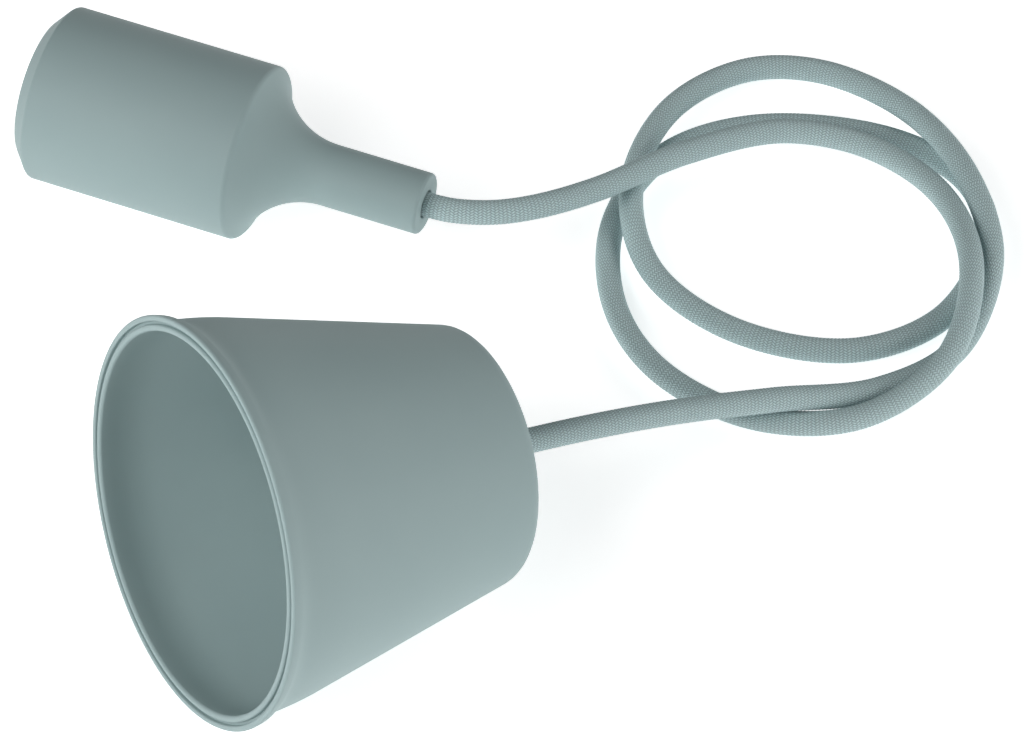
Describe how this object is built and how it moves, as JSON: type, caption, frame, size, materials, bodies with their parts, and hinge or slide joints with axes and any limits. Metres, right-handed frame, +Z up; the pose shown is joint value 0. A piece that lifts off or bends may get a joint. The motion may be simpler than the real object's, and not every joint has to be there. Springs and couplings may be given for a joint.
{
  "type": "pendant cord set",
  "caption": "Pendant cord set: screw lamp holder in a soft moulded sleeve with a slim neck, round braided cord in two loose loops, and a conical ceiling cup over its terminals.",
  "frame": {"origin": "on the surface that the set lies on, under the middle of the lamp holder and the ceiling cup together", "axes": "+Z up; the lamp holder's axis along X with its mouth towards -X; the loops of cord towards +X and +Y"},
  "size_m": [0.2424, 0.261, 0.0972],
  "materials": {
    "soft_grey": "matt moulded silicone",
    "braid_grey": "fine textile braid",
    "pale_moulding": "satin moulding",
    "brass_parts": "pressed and machined brass",
    "plated_steel": "zinc plated",
    "brown_sheath": "smooth wire sheath",
    "blue_sheath": "smooth wire sheath"
  },
  "bodies": {
    "root": {"sleeve": "soft_grey", "holder_skirt": "pale_moulding", "holder_cap": "pale_moulding", "contact_carrier": "pale_moulding", "thread_shell": "brass_parts", "shell_rivet": "plated_steel", "centre_contact": "brass_parts", "centre_rivet": "plated_steel", "live_terminal": "brass_parts", "neutral_terminal": "brass_parts", "live_terminal_screw": "plated_steel", "neutral_terminal_screw": "plated_steel", "holder_live_core": "brown_sheath", "holder_neutral_core": "blue_sheath", "cord_grip": "pale_moulding", "grip_screw": "plated_steel", "lock_nut": "plated_steel", "ceiling_cup": "soft_grey", "strain_relief_base": "pale_moulding", "cord_clamp": "pale_moulding", "clamp_screw_left": "plated_steel", "clamp_screw_right": "plated_steel", "terminal_block": "pale_moulding", "block_screw": "plated_steel", "live_barrel": "brass_parts", "neutral_barrel": "brass_parts", "cup_live_core": "brown_sheath", "cup_neutral_core": "blue_sheath", "live_barrel_screw_1": "plated_steel", "live_barrel_screw_2": "plated_steel", "neutral_barrel_screw_1": "plated_steel", "neutral_barrel_screw_2": "plated_steel", "cord": "braid_grey"}
  },
  "joints": []
}
